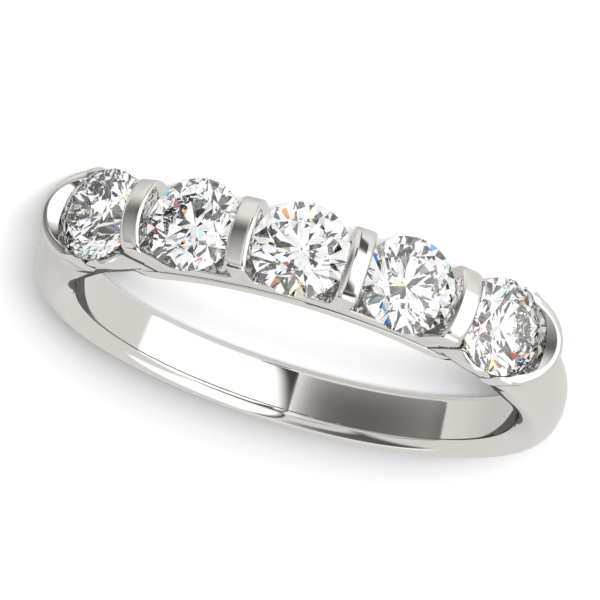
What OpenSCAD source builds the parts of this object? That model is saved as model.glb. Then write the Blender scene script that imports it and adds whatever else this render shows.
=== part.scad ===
// Five-stone wedding ring: a plain tapering shank cast in one with a raised head.
// Four upright bars and two half-round end rims hold a row of round brilliants.
// Millimetres. The finger's axis is Z, the origin is the middle of the finger
// hollow, and the row of stones faces -Y with stone 1 on the +X side.

/* [Finger hollow] */
// Diameter of the finger hollow (17.3 is a US size 7)
hollow_d = 17.3; // [16.5:0.1:18.5]
// Width of the flat inner wall that touches the finger
inner_w = 1.74; // [1.6:0.02:1.8]

/* [Shank] */
// Width of the shank at its base, opposite the stones
base_w = 2.4; // [2.3:0.02:2.5]
// Width of the shank where it meets the head
shoulder_w = 3.28; // [3.2:0.02:3.4]
// Thickness of the shank at its base
base_t = 1.56; // [1.5:0.02:1.7]
// Thickness of the shank where it meets the head
shoulder_t = 3.06; // [2.9:0.02:3.1]

/* [Head] */
// Height of the head's domed crest above the finger hollow
head_h = 4.24; // [4.15:0.02:4.35]
// Radius of the dome across the head
dome_r = 2; // [1.95:0.01:2.1]
// Width of the bars along their tops
bar_len = 2.9; // [2.8:0.02:3]
// Thickness of a bar
bar_t = 0.66; // [0.62:0.01:0.72]
// Width of the gallery rail where it touches the finger
rail_w = 2.48; // [2.4:0.02:2.56]
// Height of the rail's lip above the finger hollow
lip_h = 0.7; // [0.6:0.05:0.8]
// How far the rail reaches to each side of the middle stone, in degrees
rail_reach = 46; // [45:0.5:47]
// Height of the gallery between two bars
gallery_h = 1.75; // [1.65:0.05:1.85]
// Thickness of an end rim at its outer end
rim_t = 0.66; // [0.6:0.02:0.72]

/* [Stones] */
// Diameter of a stone across its girdle
stone_d = 3.64; // [3.6:0.01:3.66]
// Height of the girdles above the finger hollow
girdle_h = 3.27; // [3.25:0.01:3.35]
// Angle from one stone to the next, round the finger
pitch = 20.1; // [20:0.05:20.4]
// Table width as a share of the girdle
table_share = 0.57; // [0.54:0.01:0.6]
// Slope of the main crown facets, in degrees
crown_deg = 34.5; // [33.5:0.5:35]
// Slope of the main pavilion facets, in degrees
pavilion_deg = 40.8; // [40.4:0.2:41]
// Clear gap between a stone and its seat
seat_gap = 0.04; // [0.03:0.01:0.05]

/* [Hidden] */
$fn = 96;

hollow_r = hollow_d / 2;
crest_r = hollow_r + head_h;
dome_c = crest_r - dome_r;
girdle_r = hollow_r + girdle_h;
stone_r = stone_d / 2;
middle = 3;
end_turn = 2 * pitch;
slope = (bar_len - rail_w + 0.2) / 2 / (head_h - 0.62);
side_w = 2 * (stone_r + 0.04);

// Shank stations run from beside one end bar round the base to the other.
shank_from = 33;
shoulder_at = 53;
half_stations = concat([for (s = [shank_from:1.8:40.3]) s], [for (s = [43.5:3.5:57.6]) s], [for (s = [62:6:176.1]) s]);
stations = concat(half_stations, [180], [for (i = [len(half_stations) - 1:-1:0]) 360 - half_stations[i]]);

// Share of the way from the base (0) to the shoulder (1)
function rise(s) = min(1, (180 - s) / (180 - shoulder_at));

// Fades from 1 under an end stone to 0 on the open shank
function beside(s) = s < 38 ? 1 : s > 58 ? 0 : pow(cos(90 * (s - 38) / 20), 2);

// Half the shank's width. Under an end stone it follows the stone's outline.
function half_w(s) = s < end_turn
    ? sqrt(pow(stone_r, 2) - pow(girdle_r * sin(end_turn - s), 2))
    : s < shoulder_at
        ? stone_r - (stone_r - shoulder_w / 2) * pow((s - end_turn) / (shoulder_at - end_turn), 2)
        : (base_w + (shoulder_w - base_w) * pow(rise(s), 6)) / 2;

// Half the width of the inner wall, a little wider towards the head
function inner_half(s) = inner_w / 2 + 0.11 * max(0, min(1, (62 - s) / 14));

function thick(s) = base_t + (shoulder_t - base_t) * pow(rise(s), 6.5);

// Height of the widest place above the finger hollow
function waist(s) = thick(s) * (0.68 + 0.24 * beside(s));

// How round the flank is: 1 is a straight slope, less is hollow
function fullness(s) = 1.4 - 0.85 * beside(s);

// One section, from the hollow's near edge over the dome to its far edge.
// Each point is [along the finger, above the hollow].
flank_n = 3;
dome_n = 4;
function near_half(s) = concat(
    [[inner_half(s), -0.4]],
    [for (i = [0:flank_n - 1]) let (x = i / flank_n)
        [inner_half(s) + (half_w(s) - inner_half(s)) * (1 - pow(1 - x, fullness(s))),
            0.04 + (waist(s) - 0.04) * x]],
    [for (i = [0:dome_n - 1]) let (t = 90 * i / dome_n)
        [half_w(s) * pow(cos(t), 1.2), waist(s) + (thick(s) - waist(s)) * pow(sin(t), 1.2)]]);

function section(s) = let (h = near_half(s), n = len(h))
    concat(h, [[0, thick(s)]], [for (i = [n - 1:-1:0]) [-h[i][0], h[i][1]]]);

// A point at angle s from the top of the head, on the row's side
function place(s, p) = [sin(s) * (hollow_r + p[1]), -cos(s) * (hollow_r + p[1]), p[0]];

module loft(rows) {
    n = len(rows[0]);
    m = len(rows);
    polyhedron(
        points = [for (row = rows) for (p = row) p],
        faces = concat(
            [[for (i = [0:n - 1]) i]],
            [for (j = [0:m - 2]) for (i = [0:n - 1]) let (k = (i + 1) % n)
                [(j + 1) * n + i, (j + 1) * n + k, j * n + k, j * n + i]],
            [[for (i = [n - 1:-1:0]) (m - 1) * n + i]]));
}

// Stands children at an angle round the finger, their own Z pointing outward
module on_row(turn) {
    rotate([0, 0, turn]) rotate([90, 0, 0]) children();
}

module shank() {
    loft([for (s = stations) let (f = s > 180 ? 360 - s : s) [for (p = section(f)) place(s, p)]]);
}

// The space under the domed crest, of a given width
module under_dome(width) {
    intersection() {
        rotate_extrude() union() {
            translate([dome_c, 0]) circle(dome_r, $fn = 60);
            translate([hollow_r - 0.4, -dome_r]) square([dome_c - hollow_r + 0.4, 2 * dome_r]);
        }
        cube([60, 60, width], center = true);
    }
}

// The rail under the row, cut off at its four corners
module rail() {
    foot = hollow_r - 0.9;
    difference() {
        rotate([0, 0, -90 - rail_reach]) rotate_extrude(angle = 2 * rail_reach)
            translate([foot, -rail_w / 2]) square([lip_h + 0.9, rail_w]);
        for (side = [-1, 1], end = [-1, 1]) on_row(end * (rail_reach + 0.3))
            translate([0, side * rail_w / 2, hollow_r]) rotate([0, 0, 45]) cube([0.8, 0.8, 8], center = true);
    }
}

// The bars and gallery as one block across the row, before the gaps are cut
module head_block() {
    reach = 1.5 * pitch + 8.3;
    low = hollow_r - 0.65;
    high = crest_r + 0.2;
    wide = bar_len / 2;
    narrow = rail_w / 2 - 0.1;
    rotate([0, 0, -90 - reach]) rotate_extrude(angle = 2 * reach) polygon([
        [low, -narrow + slope * 0.65], [hollow_r, -narrow], [crest_r - 0.62, -wide],
        [high, -wide], [high, wide], [crest_r - 0.62, wide], [hollow_r, narrow],
        [low, narrow - slope * 0.65]]);
}

// The open gap between two bars, round at its lower corners
module bar_gap() {
    lean = pitch / 2;
    floor_r = hollow_r + gallery_h;
    corner = 0.3;
    function face_x(r) = r * tan(lean) - bar_t / 2 / cos(lean);
    centre_z = floor_r + corner;
    centre_x = face_x(centre_z) - corner / cos(lean);
    top = crest_r + 1;
    half = concat(
        [for (i = [0:5]) let (a = -90 + (90 - lean) * i / 5)
            [centre_x + corner * cos(a), centre_z + corner * sin(a)]],
        [[face_x(top), top]]);
    rotate([90, 0, 0]) linear_extrude(height = 8, center = true) polygon(
        concat(half, [for (i = [len(half) - 1:-1:0]) [-half[i][0], half[i][1]]]));
}

// The wall round an end stone: high outside, low beside its neighbouring bar
module end_rim() {
    outer = stone_r + rim_t;
    foot = girdle_r - 1.1;
    translate([outer - side_w / 2, 0, foot]) cylinder(r = side_w / 2, h = 4);
    translate([0, 0, foot + 0.6]) cylinder(r = side_w / 2, h = 0.35);
}

// A stone's seat: its outline grown by the gap, with a plain hole through the gallery
module seat() {
    r = stone_r + seat_gap;
    crown = (1 - table_share) * tan(crown_deg);
    edge = 0.03 * stone_r + seat_gap;
    deep = r * tan(pavilion_deg);
    translate([0, 0, girdle_r]) rotate_extrude() polygon([
        [0, -edge - deep], [r, -edge], [r, edge], [r - 0.12, edge + 0.12 * tan(crown_deg)],
        [r - 0.12, 3], [0, 3]]);
    translate([0, 0, hollow_r - 1]) cylinder(r = 0.6, h = girdle_h);
}

// The cast metal before the seats and the finger hollow are cut, as one body
module casting() {
    resize([0, 0, 0]) union() {
        shank();
        rail();
        intersection() {
            difference() {
                head_block();
                for (i = [2:4]) on_row((middle - i) * pitch) bar_gap();
                for (side = [-1, 1]) rotate([0, 0, side * end_turn]) outside_cut(side);
            }
            under_dome(4);
        }
        for (side = [0, 1]) mirror([side, 0, 0]) intersection() {
            on_row(end_turn) end_rim();
            under_dome(side_w + 1);
        }
    }
}

module band() color([0.82, 0.81, 0.79]) difference() {
    casting();
    for (i = [1:5]) on_row((middle - i) * pitch) seat();
    cylinder(r = hollow_r, h = 20, center = true);
}

// Clears the head block beyond an end bar: a narrow slot at the bar's foot and
// everything above the wall beside the end stone
module outside_cut(side) {
    lean = pitch / 2;
    rotate([0, 0, -side * lean]) {
        translate([side * (bar_t / 2 + 0.2), -(hollow_r + gallery_h + 5), 0]) cube([0.4, 10, 12], center = true);
        translate([side * (bar_t / 2 + 4), -(girdle_r + 4.85), 0]) cube([8, 10, 12], center = true);
    }
}

// One round brilliant: a table, 8 stars, 8 mains and 16 halves on the crown,
// 8 mains and 16 halves on the pavilion, and a girdle of 48 upright faces
module brilliant() {
    r = stone_r;
    g = 0.03 * r;
    t = table_share * r;
    star_r = (t * cos(22.5) + r) / 2;
    low_r = 0.23 * r;
    table_z = g + (r - t) * tan(crown_deg);
    star_z = g + (r - star_r * cos(22.5)) * tan(crown_deg);
    low_z = -g - (r - low_r * cos(22.5)) * tan(pavilion_deg);
    culet_z = -g - r * tan(pavilion_deg);
    function ring(n, radius, z, turn) =
        [for (i = [0:n - 1]) [radius * cos(turn + 360 * i / n), radius * sin(turn + 360 * i / n), z]];
    // Height of the plane through a junction and two girdle points, at the girdle
    function plane_z(j, a, b, turn) = let (n = cross(a - j, b - j))
        j[2] - (n[0] * (r * cos(turn) - j[0]) + n[1] * (r * sin(turn) - j[1])) / n[2];
    // The girdle's edge dips between the places where two half facets meet, every 22.5 degrees
    function edge_z(radius, z, edge, step) = step == 0 ? edge : plane_z(
        [radius * cos(22.5), radius * sin(22.5), z], [r, 0, edge], [r * cos(22.5), r * sin(22.5), edge], 7.5);
    function edge(radius, z, edge) =
        [for (k = [0:47]) [r * cos(7.5 * k), r * sin(7.5 * k), edge_z(radius, z, edge, k % 3)]];
    // Points 0 to 7 table, 8 to 15 stars, 16 to 63 upper edge, 64 to 111 lower edge, 112 to 119 lows, 120 culet
    function up(k) = 16 + (k + 48) % 48;
    function down(k) = 64 + (k + 48) % 48;
    function star(i) = 8 + (i + 8) % 8;
    function low(i) = 112 + (i + 8) % 8;
    polyhedron(
        points = concat(ring(8, t, table_z, 0), ring(8, star_r, star_z, 22.5), edge(star_r, star_z, g),
            edge(low_r, low_z, -g), ring(8, low_r, low_z, 22.5), [[0, 0, culet_z]]),
        faces = concat(
            [[for (i = [7:-1:0]) i]],
            [for (i = [0:7]) [i, (i + 1) % 8, star(i)]],
            [for (i = [0:7]) [i, star(i), up(6 * i), star(i - 1)]],
            [for (i = [0:7]) [star(i), up(6 * i + 3), up(6 * i + 2), up(6 * i + 1), up(6 * i)]],
            [for (i = [0:7]) [star(i - 1), up(6 * i), up(6 * i - 1), up(6 * i - 2), up(6 * i - 3)]],
            [for (k = [0:47]) [up(k), up(k + 1), down(k + 1), down(k)]],
            [for (i = [0:7]) [low(i), down(6 * i), down(6 * i + 1), down(6 * i + 2), down(6 * i + 3)]],
            [for (i = [0:7]) [low(i - 1), down(6 * i - 3), down(6 * i - 2), down(6 * i - 1), down(6 * i)]],
            [for (i = [0:7]) [down(6 * i), low(i), 120, low(i - 1)]]));
}

module stone(i) color([0.93, 0.95, 0.97]) on_row((middle - i) * pitch) translate([0, 0, girdle_r]) brilliant();

module stone_1() stone(1);
module stone_2() stone(2);
module stone_3() stone(3);
module stone_4() stone(4);
module stone_5() stone(5);

band();
stone_1();
stone_2();
stone_3();
stone_4();
stone_5();
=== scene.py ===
"""Five-stone wedding ring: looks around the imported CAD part, in metres, in the CAD frame."""
import math

import bpy
import numpy as np
from mathutils import Matrix, Vector


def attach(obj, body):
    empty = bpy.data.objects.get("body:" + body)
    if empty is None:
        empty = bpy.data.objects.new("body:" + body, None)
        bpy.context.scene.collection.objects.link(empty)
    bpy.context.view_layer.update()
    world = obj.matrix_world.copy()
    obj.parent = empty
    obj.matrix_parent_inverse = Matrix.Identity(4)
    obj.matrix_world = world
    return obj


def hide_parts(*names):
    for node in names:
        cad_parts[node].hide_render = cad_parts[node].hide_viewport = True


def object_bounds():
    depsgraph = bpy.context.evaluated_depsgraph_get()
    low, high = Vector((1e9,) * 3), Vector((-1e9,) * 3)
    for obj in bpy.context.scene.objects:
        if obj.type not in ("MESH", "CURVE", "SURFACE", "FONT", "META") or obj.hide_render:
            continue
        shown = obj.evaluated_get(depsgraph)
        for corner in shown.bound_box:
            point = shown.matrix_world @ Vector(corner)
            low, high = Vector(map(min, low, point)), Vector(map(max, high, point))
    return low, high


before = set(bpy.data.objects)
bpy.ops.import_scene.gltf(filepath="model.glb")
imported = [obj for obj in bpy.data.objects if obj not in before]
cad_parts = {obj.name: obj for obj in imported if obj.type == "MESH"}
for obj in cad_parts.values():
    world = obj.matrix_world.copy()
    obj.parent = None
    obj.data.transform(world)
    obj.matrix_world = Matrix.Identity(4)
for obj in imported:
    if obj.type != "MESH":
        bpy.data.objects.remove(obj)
cad_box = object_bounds()

# The ring's own sizes, as in the part's source. Lengths are in millimetres. Turns are in degrees round the
# finger from the middle stone
HOLLOW = 8.65  # radius of the finger hollow
HEAD_H, DOME = 4.24, 2.0  # height of the bars over the hollow, radius of their crest along the finger
BAR_LEN, BAR_T = 2.9, 0.66
RAIL_W, LIP, REACH = 2.48, 0.7, 46.0  # the rail's width, height over the hollow and last turn
GALLERY = 1.75  # height of the gallery's floor over the hollow
INSET, DROP = 0.1, 0.62  # the gallery stands inside the rail, and is widest this far below the crest
RIM_T = 0.66
STONE, GIRDLE_H = 1.82, 3.27  # a stone's radius, and its girdle's height over the hollow
GAP = 0.04  # between a stone and its seat
PAVILION, CROWN = 40.8, 34.5  # slopes of the stones' main facets, in degrees
PITCH = 20.1  # turn from one stone to the next
SHOULDER = 53  # turn where the shank has grown to its full width and thickness
INNER_W, BASE_W, SHOULDER_W = 1.74, 2.4, 3.28  # widths of the shank in the hollow, at its base and shoulder
BASE_T, SHOULDER_T = 1.56, 3.06  # its thickness at both
CREST = HOLLOW + HEAD_H
DOME_C = CREST - DOME
GIRDLE = HOLLOW + GIRDLE_H
END = 2 * PITCH
SLOPE = (BAR_LEN - RAIL_W + 2 * INSET) / 2 / (HEAD_H - DROP)  # of the gallery's sides and the bars' ends

# What the dressed band has beyond the source: finer steps, a softer hollow and rounded edges
TURNS = [33 + 0.6 * i for i in range(50)] + [63 + 1.17 * i for i in range(100)]
BULGE = 0.065  # slope of the finger hollow at its edges, along the finger
SINK = 0.45  # how far shapes reach into the hollow before it is cut


def ease(x):
    """0 below 0, 1 above 1, level at both ends."""
    x = max(0, min(1, x))
    return x * x * (3 - 2 * x)


def rise(s):
    """0 at the back of the ring, 1 at the shoulders."""
    return min(1, (180 - s) / (180 - SHOULDER))


def beside(s):
    """1 beside the head, 0 further back."""
    near, far = 38, 66
    if s < near:
        return 1
    if s > far:
        return 0
    return math.cos(math.radians(90 * (s - near) / (far - near))) ** 2


def half_w(s):
    """Half the width of the shank, which follows the end stone's edge beside it."""
    if s < END:
        return math.sqrt(STONE ** 2 - (GIRDLE * math.sin(math.radians(END - s))) ** 2)
    if s < SHOULDER:
        return STONE - (STONE - SHOULDER_W / 2) * ((s - END) / (SHOULDER - END)) ** 2
    return (BASE_W + (SHOULDER_W - BASE_W) * rise(s) ** 6) / 2


def inner_half(s):
    """Half the width of the shank where it meets the finger hollow."""
    start, run, more = 68, 24, 0.11
    return INNER_W / 2 + more * ease((start - s) / run)


def thick(s):
    """Thickness of the shank."""
    return BASE_T + (SHOULDER_T - BASE_T) * rise(s) ** 6.5


def waist(s):
    """Height over the hollow where the section is widest."""
    back, more = 0.5, 0.42
    return thick(s) * (back + more * beside(s))


def turned(turn, x, y, z):
    """A point at a turn: x beside the turn's own plane, y out from the finger's axis, z along it."""
    a = math.radians(turn)
    return (math.sin(a) * y + math.cos(a) * x, -math.cos(a) * y + math.sin(a) * x, z)


def place(turn, z, r):
    """A point on a turn's own plane."""
    return turned(turn, 0, r, z)


def by_stone(turn, around, p, h, side=1):
    """A point p from a stone's axis, in a direction round that axis, and h over its girdle."""
    return turned(turn, side * p * math.cos(around), GIRDLE + h, p * math.sin(around))


def all_round(half):
    """The turns of one half of the ring, then those of the other half."""
    return half + [180] + [360 - s for s in half[::-1] if s > 0]


def dome_r(z):
    """Radius of the domed crest at z along the finger."""
    return DOME_C + math.sqrt(max(0.0, DOME ** 2 - z * z))


def quarter(corner_z, corner_r, edge, steps=4):
    """Points round an outer edge, from its side to its top."""
    angles = [math.radians(90 * i / steps) for i in range(steps + 1)]
    return [(corner_z - edge + edge * math.cos(a), corner_r - edge + edge * math.sin(a)) for a in angles]


def both_sides(side, middle=()):
    """An outline from its own side, its middle points and the same side mirrored."""
    return [*side, *middle, *[(-z, r) for z, r in side[::-1]]]


def loft(rows, closed=False):
    """Vertices and faces of a skin over rows of points, capped at its ends unless it closes on itself."""
    m, n = len(rows), len(rows[0])
    verts = [tuple(p) for row in rows for p in row]
    faces = [(j * n + i, j * n + (i + 1) % n, (j + 1) % m * n + (i + 1) % n, (j + 1) % m * n + i)
             for j in range(m if closed else m - 1) for i in range(n)]
    if not closed:
        faces += [tuple(range(n - 1, -1, -1)), tuple((m - 1) * n + i for i in range(n))]
    v = np.array(verts)
    volume = 0
    for f in faces:
        volume += sum(np.dot(v[f[0]], np.cross(v[f[i]], v[f[i + 1]])) for i in range(1, len(f) - 1))
    return verts, faces if volume > 0 else [f[::-1] for f in faces]


def section(s):
    """The shank's outline at a turn, as half widths and heights over the hollow."""
    inner, half, top = inner_half(s), half_w(s), waist(s)
    foot, full, steps = 0.04, 0.93, 16
    lean = 1 + 0.9 * beside(s)  # above 1 the side starts steeper, beside the head
    side = [(inner, -SINK)]
    for i in range(steps):
        x = i / steps
        side.append((inner + (half - inner) * (1 - (1 - x) ** 2) ** lean, foot + (top - foot) * x))
    for i in range(steps):
        a = math.radians(90 * i / steps)
        side.append((half * math.cos(a) ** full, top + (thick(s) - top) * math.sin(a) ** full))
    return both_sides(side, [(0, thick(s))])


def shank():
    """The plain band, from one end stone round the back to the other."""
    rows = []
    for turn in all_round(TURNS):
        s = min(turn, 360 - turn)
        rows.append([place(turn, z, HOLLOW + h) for z, h in section(s)])
    return loft(rows)


def rail_half(s):
    """Half the rail's width, tapering into the shank at its ends."""
    taper, run = 0.34, 1.7
    left = math.radians(REACH - abs(s)) * (HOLLOW + LIP / 2)
    return RAIL_W / 2 - taper * max(0, 1 - left / run) ** 2


def rail():
    """The rail along the edges of the finger hollow under the stones."""
    edge, top = 0.07, HOLLOW + LIP
    from_end = (0, 0.05, 0.15, 0.3, 0.5, 0.8, 1.1, 1.5, 2, 2.6, 3.2, 3.8, 4.4)  # degrees
    turns = [float(s) for s in range(-41, 42)]
    turns += [side * (REACH - d) for side in (-1, 1) for d in from_end]
    rows = []
    for turn in sorted(turns):
        w = rail_half(turn)
        side = [(w, HOLLOW - SINK), *quarter(w, top, edge)]
        rows.append([place(turn, z, r) for z, r in both_sides(side)])
    return loft(rows)


def block_half(r):
    """Half the width of the gallery and the bars at a radius."""
    return min(BAR_LEN / 2, RAIL_W / 2 - INSET + SLOPE * (r - HOLLOW))


def wall(turns, tops):
    """A stretch of the gallery: slanted sides up to a top of its own height at each turn."""
    edge, low, middle = 0.06, HOLLOW - 0.4, HOLLOW + 0.5
    rows = []
    for turn, top in zip(turns, tops):
        side = [(block_half(r), r) for r in (low, middle)]
        side += quarter(block_half(top - edge), top, edge)
        rows.append([place(turn, z, r) for z, r in both_sides(side)])
    return loft(rows)


def gallery():
    """The wall under the stones, with a small fillet at the foot of each bar."""
    floor, corner, tall, half_gap = HOLLOW + GALLERY, 0.38, 0.3, PITCH / 2
    turns, tops = [], []
    for tenth in range(-330, 331):
        turn = tenth / 10
        from_stone = (turn + PITCH * 10 + half_gap) % PITCH - half_gap
        from_bar = math.sin(math.radians(half_gap - abs(from_stone))) * (floor + tall) - BAR_T / 2
        if from_bar < 0:
            top = floor + tall
        elif from_bar < corner:
            top = floor + tall - tall * math.sqrt(1 - (1 - from_bar / corner) ** 2)
        elif tenth % 5:
            continue  # the plain floor needs fewer steps
        else:
            top = floor
        turns.append(turn)
        tops.append(top)
    return wall(turns, tops)


def end_wall(side):
    """The wall under an end stone, up to just below its girdle."""
    first, last, steps = 34.0, 1.5 * PITCH + 8.3, 8
    turns = [side * (first + (last - first) * i / steps) for i in range(steps + 1)]
    return wall(turns, [GIRDLE - 0.15] * len(turns))


def bar(turn):
    """One upright bar, lofted along the finger: arched top, chamfered long edges, rounded slanted ends."""
    half_t, thinner = BAR_T / 2 + 0.09, 0.05
    edge, bend, nick = 0.11, 0.035, 0.02  # the chamfer, and how its two corners are rounded
    low, side_h, round_off, steps = HOLLOW + 1.0, 1.0, 0.24, 32
    crest_read = CREST - 0.6  # the height whose length along the finger sets the crest's arch
    arched = low + side_h + 0.2  # above this, heights are measured out from the finger's axis

    def along(y, share, end):
        """Distance along the finger at height y: a share of the straight part, or of an end's rounding."""
        half = block_half(y) - round_off
        return end * half + share * round_off if end else share * half

    ends = [(math.sin(a), 1 - math.cos(a)) for a in map(math.radians, range(15, 91, 15))]
    plan = [(-share, drop, -1) for share, drop in ends[::-1]]
    plan += [(-1 + 2 * i / steps, 0, 0) for i in range(steps + 1)]
    plan += [(share, drop, 1) for share, drop in ends]
    rows = []
    for share, drop, end in plan:
        w = half_t - thinner * drop
        top = dome_r(abs(along(crest_read, share, end))) - round_off * drop
        side = [(w, low), (w, low + side_h), (w, 0.5 * (low + side_h + top - edge)), (w, top - edge),
                (w - nick, top - edge + bend), (w - edge + bend, top - nick), (w - edge, top),
                (0.5 * (w - edge), top)]
        row = []
        for x, y in both_sides(side, [(0, top)]):
            out = math.sqrt(y * y - x * x) if y > arched else y
            row.append(turned(turn, x, out, along(y, share, end)))
        rows.append(row)
    return loft(rows)


def rim(side):
    """The wall round an end stone, flaring open from the stone's edge to a bevelled crest."""
    off, outer_r, inner = RIM_T + 0.16, STONE + GAP, STONE + GAP / 2
    sweep, fade_start, steps = 72, 48, 80  # degrees each way round the stone
    heart, bottom, stone_edge = 1.3, -1.1, 0.02
    thin, low_wall, low_crest, dome_end = 0.03, 0.04, 0.06, 1.96
    rows = []
    for i in range(steps + 1):
        turn = -sweep + 2 * sweep * i / steps
        f = math.radians(turn)
        outer = off * math.cos(f) + math.sqrt(outer_r ** 2 - (off * math.sin(f)) ** 2)
        t = max(thin, (outer - inner) * (1 - ease((abs(turn) - fade_start) / (sweep - fade_start))))
        k = t / (off + GAP / 2)  # the bevels shrink with the wall
        middle = inner + 0.5 * t
        x, z = middle * math.cos(f), middle * math.sin(f)
        arch = math.sqrt(dome_r(min(dome_end, abs(z))) ** 2 - x * x) - GIRDLE
        crest = max(low_crest, arch - 0.14 * k)
        wall_h = max(low_wall, crest - 0.07 * k)
        mouth = inner + min(0.66 * wall_h, 0.54 * t)
        # Distance from the stone's axis and height over its girdle, from the outside over the crest inwards
        outline = [(heart, bottom), (outer, bottom), (outer, crest - 0.36 * k),
                   (outer - 0.02 * k, crest - 0.16 * k), (outer - 0.07 * k, crest - 0.11 * k),
                   (inner + 0.72 * t, crest), (inner + 0.67 * t, crest + 0.01 * k),
                   (mouth + 0.07 * t, crest), (mouth + 0.05 * t, crest - 0.01 * k),
                   (mouth, wall_h), (inner, stone_edge), (heart, -0.1)]
        rows.append([by_stone(side * END, f, p, h, side) for p, h in outline])
    return loft(rows)


def seat(turn):
    """A stone's seat with a small gap, and the plain hole below it."""
    hole, lip, axis, steps = 0.6, 0.12, 0.001, 128
    r, edge = STONE + GAP, 0.03 * STONE + GAP
    below, above = -GIRDLE_H - 1.0, 1.6
    pavilion, crown = math.tan(math.radians(PAVILION)), math.tan(math.radians(CROWN))
    outline = [(hole, (hole - r) * pavilion - edge), (r, -edge), (r, edge), (r - lip, edge + lip * crown),
               (r - lip, above), (axis, above), (axis, below), (hole, below)]
    angles = [math.radians(360 * i / steps) for i in range(steps)]
    return loft([[by_stone(turn, f, p, h) for p, h in outline] for f in angles], closed=True)


def bore():
    """The finger hollow, a little convex along the finger and rounded over where it meets the two faces."""
    before_edge, beyond, outward, inside = 0.08, 0.3, 0.2, 7.5
    rounding = ((10, 0.03), (20, 0.03), (31, 0.03), (41, 0.05), (50, 0.05))  # slope and length of each step
    rows = []
    head = [i / 2 for i in range(66)]  # up to where TURNS starts
    for turn in all_round(head + TURNS):
        s = min(turn, 360 - turn)
        edge = inner_half(s)
        if s < REACH:
            edge = max(edge, rail_half(s))
        side = []
        for share in (0, 0.25, 0.5, 0.75, 0.95, 1):
            z = share * (edge - before_edge)
            side.append((z, HOLLOW + 0.5 * BULGE / edge * z * z))
        for slope, step in rounding:
            z, r = side[-1]
            side.append((z + step * math.cos(math.radians(slope)), r + step * math.sin(math.radians(slope))))
        z, r = side[-1]
        side += [(z + beyond, r + outward), (z + beyond, inside)]
        rows.append([place(turn, z, r) for z, r in both_sides(side[:0:-1], side[:1])])
    return loft(rows, closed=True)


def solid(name, shape):
    """An object from a shape in millimetres."""
    verts, faces = shape
    mesh = bpy.data.meshes.new(name)
    mesh.from_pydata([tuple(0.001 * c for c in p) for p in verts], [], faces)
    mesh.validate()
    mesh.update()
    piece = bpy.data.objects.new(name, mesh)
    bpy.context.scene.collection.objects.link(piece)
    return piece


def fused(name, adds, cuts):
    """One object: the first shape, joined with the others and cut."""
    base = solid(name, adds[0])
    tools = [(solid(f"tool_{i}", shape), "UNION") for i, shape in enumerate(adds[1:])]
    tools += [(solid(f"tool_cut_{i}", shape), "DIFFERENCE") for i, shape in enumerate(cuts)]
    for tool, operation in tools:
        step = base.modifiers.new(tool.name, "BOOLEAN")
        step.operation, step.object, step.solver = operation, tool, "MANIFOLD"
    depsgraph = bpy.context.evaluated_depsgraph_get()
    mesh = bpy.data.meshes.new_from_object(base.evaluated_get(depsgraph))
    base.modifiers.clear()
    base.data = mesh
    for tool, _ in tools:
        tool_mesh = tool.data
        bpy.data.objects.remove(tool)
        bpy.data.meshes.remove(tool_mesh)
    return base


bars = [bar(t * PITCH / 2) for t in (-3, -1, 1, 3)]
seats = [seat(t * PITCH) for t in (-2, -1, 0, 1, 2)]
band = fused(
    "ring_band",
    [shank(), rail(), gallery(), end_wall(1), end_wall(-1), *bars, rim(1), rim(-1)],
    [*seats, bore()])
band.data.shade_smooth()
band.data.set_sharp_from_angle(angle=math.radians(32))
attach(band, "root")
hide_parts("band")


def new_material(name):
    """A material and its shader's sockets."""
    material = bpy.data.materials.new(name)
    material.use_nodes = True
    return material, material.node_tree.nodes["Principled BSDF"].inputs


def polished_white_gold():
    """White gold whose very fine polishing marks vary the roughness a little."""
    material, sockets = new_material("polished_white_gold")
    sockets["Base Color"].default_value = (0.83, 0.82, 0.80, 1)
    sockets["Metallic"].default_value = 1.0
    nodes, links = material.node_tree.nodes, material.node_tree.links
    coord = nodes.new("ShaderNodeTexCoord")
    marks = nodes.new("ShaderNodeTexNoise")
    marks.inputs["Scale"].default_value = 900
    marks.inputs["Detail"].default_value = 3
    ramp = nodes.new("ShaderNodeMapRange")
    ranges = (("From Min", 0.35), ("From Max", 0.65), ("To Min", 0.04), ("To Max", 0.075))
    for socket, value in ranges:
        ramp.inputs[socket].default_value = value
    links.new(coord.outputs["Object"], marks.inputs["Vector"])
    links.new(marks.outputs["Fac"], ramp.inputs["Value"])
    links.new(ramp.outputs["Result"], sockets["Roughness"])
    return material


def diamond():
    """Clear diamond with its real index."""
    material, sockets = new_material("diamond")
    sockets["Base Color"].default_value = (1, 1, 1, 1)
    sockets["Roughness"].default_value = 0.0
    sockets["IOR"].default_value = 2.417
    sockets["Transmission Weight"].default_value = 1.0
    return material


band.data.materials.clear()
band.data.materials.append(polished_white_gold())
clear = diamond()
for number in range(1, 6):
    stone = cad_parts[f"stone_{number}"]
    stone.data.materials.clear()
    stone.data.materials.append(clear)


def pale_floor():
    """A plain matt floor just under the ring. The metal and the stones see the studio in its place."""
    half, gap, pale = 1.5, 0.00001, 0.93
    mesh = bpy.data.meshes.new("floor")
    corners = [(-half, -half, 0), (half, -half, 0), (half, half, 0), (-half, half, 0)]
    mesh.from_pydata(corners, [], [(0, 1, 2, 3)])
    material, sockets = new_material("floor")
    sockets["Base Color"].default_value = (pale, pale, pale, 1)
    sockets["Roughness"].default_value = 1.0
    sockets["Specular IOR Level"].default_value = 0.0
    mesh.materials.append(material)
    floor = bpy.data.objects.new("floor", mesh)
    bpy.context.scene.collection.objects.link(floor)
    floor.location.z = cad_box[0].z - gap
    floor.visible_glossy = False
    floor.visible_transmission = False
    return floor


floor = pale_floor()

world = bpy.data.worlds.new("studio")
bpy.context.scene.world = world
world.use_nodes = True
world_tree = world.node_tree


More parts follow.
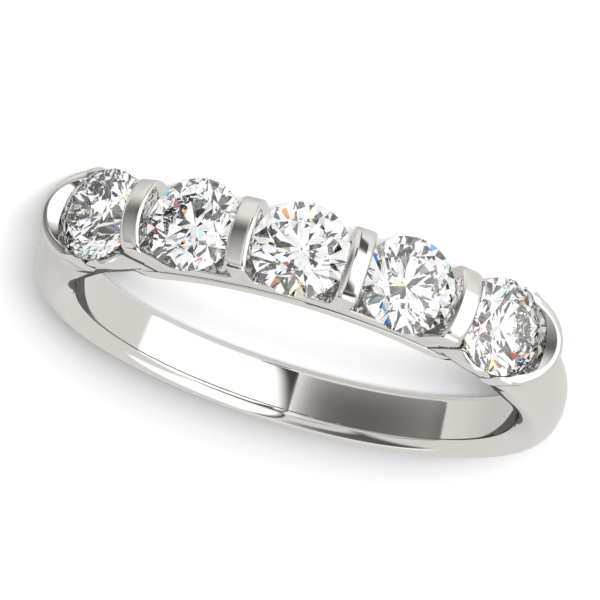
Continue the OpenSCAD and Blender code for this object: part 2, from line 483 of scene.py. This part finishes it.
class Value:
    """A number in the studio's light pattern, built from math nodes."""

    def __init__(self, socket):
        self.socket = socket

    def op(self, kind, *others):
        node = world_tree.nodes.new("ShaderNodeMath")
        node.operation = kind
        for socket, value in zip(node.inputs, (self, *others)):
            if isinstance(value, Value):
                world_tree.links.new(value.socket, socket)
            else:
                socket.default_value = value
        return Value(node.outputs[0])

    def __abs__(self):
        return self.op("ABSOLUTE")

    def __add__(self, other):
        return self.op("ADD", other)

    def __sub__(self, other):
        return self.op("SUBTRACT", other)

    def __rsub__(self, other):
        return self * -1 + other

    def __mul__(self, other):
        return self.op("MULTIPLY", other)

    def __pow__(self, other):
        return self.op("POWER", other)

    def at_least(self, other):
        return self.op("MAXIMUM", other)

    def at_most(self, other):
        return self.op("MINIMUM", other)

    def fading(self, run):
        """1 at 0, falling to 1/e over a run."""
        return (self * (-1 / run)).op("EXPONENT")

    def above(self, low, high):
        """0 below low, 1 above high, smooth between them."""
        node = world_tree.nodes.new("ShaderNodeMapRange")
        node.interpolation_type = "SMOOTHSTEP"
        world_tree.links.new(self.socket, node.inputs["Value"])
        node.inputs["From Min"].default_value = low
        node.inputs["From Max"].default_value = high
        return Value(node.outputs["Result"])

    def below(self, low, high):
        """1 below low, 0 above high."""
        return 1 - self.above(low, high)

    def within(self, low, high, edge):
        """1 between low and high, with soft edges inside them."""
        return self.above(low, low + edge) * self.below(high - edge, high)

    def mix(self, a, b):
        """a where this is 0, b where it is 1."""
        return self * (b - a) + a


# Where a ray goes, as the parts of its direction and as two angles in degrees
coord = world_tree.nodes.new("ShaderNodeTexCoord")
direction = world_tree.nodes.new("ShaderNodeSeparateXYZ")
world_tree.links.new(coord.outputs["Generated"], direction.inputs[0])
dx, dy, dz = (Value(direction.outputs[i]) for i in range(3))
az = dx.op("ARCTAN2", dy * -1) * math.degrees(1)  # round from -Y towards +X
el = dz.op("ARCSINE") * math.degrees(1)  # up from the floor's plane
front = dy.below(-0.3, 0.1)  # 1 on the camera's side
SEAM_BEHIND = 0.035  # how far to +X the panels meet behind the ring
beyond_seam = dx - front.mix(SEAM_BEHIND, 0.0)  # below 0 on the white panel's side
# The panels' edges turn in below a height, by a few degrees at most
TURN_IN_BELOW, TURN_IN, MOST = -17, 0.12, 3.0
corner = ((TURN_IN_BELOW - el).at_least(0.0) ** 2.0 * TURN_IN).at_most(MOST)


def panel_masks():
    """Two tall panels, from low in front over the top to behind: white at -X and dark at +X."""
    white_low, white_rise, white_soft = -40, 12, (-5, 3)
    white_side, white_back = (-90, -87), (90, 95)
    dark_low, dark_side, dark_back = (-46, -12), (85.5, 87.5), (68, 74)
    over_low, over_side, sharp = (46, 50), (0.32, 0.42), 0.001
    over = el.above(*over_low) * abs(dx).below(*over_side)
    lower_edge = abs(dx) * abs(dx) * white_rise + white_low
    white = (el - lower_edge).above(*white_soft) * (az - corner).above(*white_side) * az.below(*white_back)
    white = white.at_least(over) * beyond_seam.below(0.0, sharp)
    dark = el.above(*dark_low) * (az + corner).below(*dark_side)
    dark = dark.at_least(over * front.at_least(el.below(*dark_back))) * beyond_seam.above(-sharp, 0.0)
    return white, dark


def white_panel_tone():
    """White as far as the dark line between the panels, and dark where it passes over the ring."""
    white, line, high, top = 1.4, 0.06, 0.3, 0.04
    line_front, line_behind, high_from, top_from = (-11.5, -1.5), (-0.01, 0.03), (48, 58), (60, 66)
    level, lean, most = 15, 0.5, 3.0  # the line leans to each side of a height
    slant = ((el + level) * lean).at_most(most).at_least(-most) - corner
    on_line = front.mix(dx.above(*line_behind), (az - slant).above(*line_front))
    tone = on_line.mix(white, line)
    tone = (el.above(*high_from) * front).mix(tone, high)
    return (el.above(*top_from) * front).mix(tone, top)


def dark_panel_tone():
    """Bright beside the white panel, and fading to a dark grey away from it."""
    dark, near, near_run = 0.135, 0.85, 7.5
    far_from, far_run, far = 28, 50, 0.12
    up_from, up = -8, 0.009
    dark_behind, near_behind, run_behind = 0.1, 0.8, 0.05
    tone = az.fading(near_run) * near + ((az - far_from).at_least(0.0) * (1 / far_run)) ** 2.0 * far + dark
    tone = tone + (el - up_from).at_least(0.0) * up
    behind = beyond_seam.fading(run_behind) * near_behind + dark_behind
    return front.mix(behind, tone).at_most(1.0)


def surroundings_tone():
    """The grey studio round the panels, lighter in front and with a bright line high behind the ring."""
    grey, grey_behind, lighter, line = 0.76, 0.63, 0.16, 1.2
    behind = abs(az).above(95, 130) * dx.above(-0.1, 0.12) * el.below(0, 20)
    tone = behind.mix(grey, grey_behind)
    tone = tone + (abs(az) - 88).at_least(0.0).fading(11) * lighter * front
    on_line = el.within(42, 50, 3) * dy.above(0.0, 0.1) * abs(dx).below(0.25, 0.38) * dx.above(0.0, 0.02)
    return on_line.mix(tone, line)


def bar_patches():
    """Two dark patches with slanted edges, which the bars mirror."""
    centre, steep, soft = -15, 3, 3
    slanted = el + (az - centre) * steep
    low = az.within(-24, -3, soft) * slanted.below(-52, -30) * el.below(-36, -27)
    high = az.within(-24, -6, soft) * slanted.above(24, 38) * el.below(52, 60)
    return low.at_least(high)


def metal_tone(depth):
    """What polished metal mirrors, with painted shade: rays mirrored twice or more see the studio dimmed to a
    fifth, so metal mirrored in metal looks darker as if it lay in shade.
    """
    patch, painted_shade_share, painted_shade_depth = 0.1, 0.2, (2.2, 2.8)
    white, dark = panel_masks()
    tone = white.mix(surroundings_tone(), white_panel_tone())
    tone = dark.mix(tone, dark_panel_tone())
    tone = bar_patches().mix(tone, patch)
    # Painted shade: from the second mirroring on, the studio is dimmed in place of the shade in the ring's
    # recesses
    return tone * depth.above(*painted_shade_depth).mix(1, painted_shade_share)


def sine(across, up, shift):
    """A wave over the studio, by how fast it runs round and up."""
    return (az * across + (el * up + shift)).op("SINE")


def stone_tone(split):
    """What the stones see through their facets: bright, with dark stripes that a colour's split moves."""
    dark, bright, swing = 0.02, 1.17, 0.16
    camera_az, camera_el, camera_edge, stripe_edge = -4.6, 14.7, (14, 17), (0.56, 0.74)
    wave = sine(0.105, 0.05, split) + sine(0.043, -0.13, split) * 0.8
    pale = sine(0.024, 0.07, split * 3) * swing + bright
    camera_side = (abs(az - camera_az) + abs(el - camera_el)).below(*camera_edge)
    return wave.above(*stripe_edge).at_least(camera_side).mix(pale, dark)


# Red, green and blue: how warm the metal looks, and how far each is moved in the stones
COLOURS = ((1.0, -0.06), (0.985, 0.0), (0.955, 0.06))
EVEN = 0.21  # the light that the floor gets from all round
path = world_tree.nodes.new("ShaderNodeLightPath")
through_stone = Value(path.outputs["Is Transmission Ray"])
scattered = Value(path.outputs["Is Diffuse Ray"])
mirrored = metal_tone(Value(path.outputs["Ray Depth"]))
shade = world_tree.nodes.new("ShaderNodeCombineColor")
for i, (warmth, split) in enumerate(COLOURS):
    seen = through_stone.mix(mirrored * warmth, stone_tone(split))
    world_tree.links.new(scattered.mix(seen, EVEN).socket, shade.inputs[i])
background = world_tree.nodes["Background"]
world_tree.links.new(shade.outputs[0], background.inputs["Color"])
background.inputs["Strength"].default_value = 1.0
world.cycles.sampling_method = "MANUAL"
world.cycles.sample_map_resolution = 512


def lamp(name, location, target, size, power):
    """A rectangular lamp that faces a point. Mirrored and refracted rays don't see it."""
    light = bpy.data.lights.new(name, "AREA")
    light.shape = "RECTANGLE"
    light.size, light.size_y = size
    light.energy = power
    holder = bpy.data.objects.new(name, light)
    bpy.context.scene.collection.objects.link(holder)
    aim = Vector(target) - Vector(location)
    holder.matrix_world = Matrix.Translation(location) @ aim.to_track_quat("-Z", "Y").to_matrix().to_4x4()
    holder.visible_glossy = False
    holder.visible_transmission = False


# A low lamp in front, and a small one in the finger hollow that lights the floor inside it, in watts
lamp("key", (-0.14, -0.996, 0.2065), (0, 0.01, 0), (0.3, 0.18), 57)
lamp("fill", (0, -0.001, 0.0014), (0, -0.001, -0.01), (0.0155, 0.010), 0.0008)

# Camera fitted to the photo: it looks at a point near the ring's centre, turned, tilted and rolled in degrees
PICTURE, FOCAL, CENTRE_X, CENTRE_Y = 600, 7830.93, 299.11, 300.09  # pixels
AIM, DISTANCE = Vector((0.000456, -0.000365, -0.001227)), 0.29783
TURN, TILT, ROLL = -4.6468, 75.0633, -163.0539
cam = bpy.data.cameras.new("camera")
cam.sensor_width = 36
cam.lens = FOCAL * cam.sensor_width / PICTURE
cam.shift_x = (PICTURE / 2 - CENTRE_X) / PICTURE
cam.shift_y = (CENTRE_Y - PICTURE / 2) / PICTURE
cam.clip_start, cam.clip_end = 0.01, 10
camera = bpy.data.objects.new("camera", cam)
bpy.context.scene.collection.objects.link(camera)
facing = Matrix.Identity(4)
for angle, axis in ((TURN, "Z"), (TILT, "X"), (ROLL, "Z")):
    facing = facing @ Matrix.Rotation(math.radians(angle), 4, axis)
camera.matrix_world = Matrix.Translation(AIM) @ facing @ Matrix.Translation((0, 0, DISTANCE))
bpy.context.scene.camera = camera

scene = bpy.context.scene
scene.view_settings.view_transform = "Standard"
scene.cycles.max_bounces = 24
scene.cycles.transmission_bounces = 20
scene.cycles.glossy_bounces = 12
scene.cycles.diffuse_bounces = 4
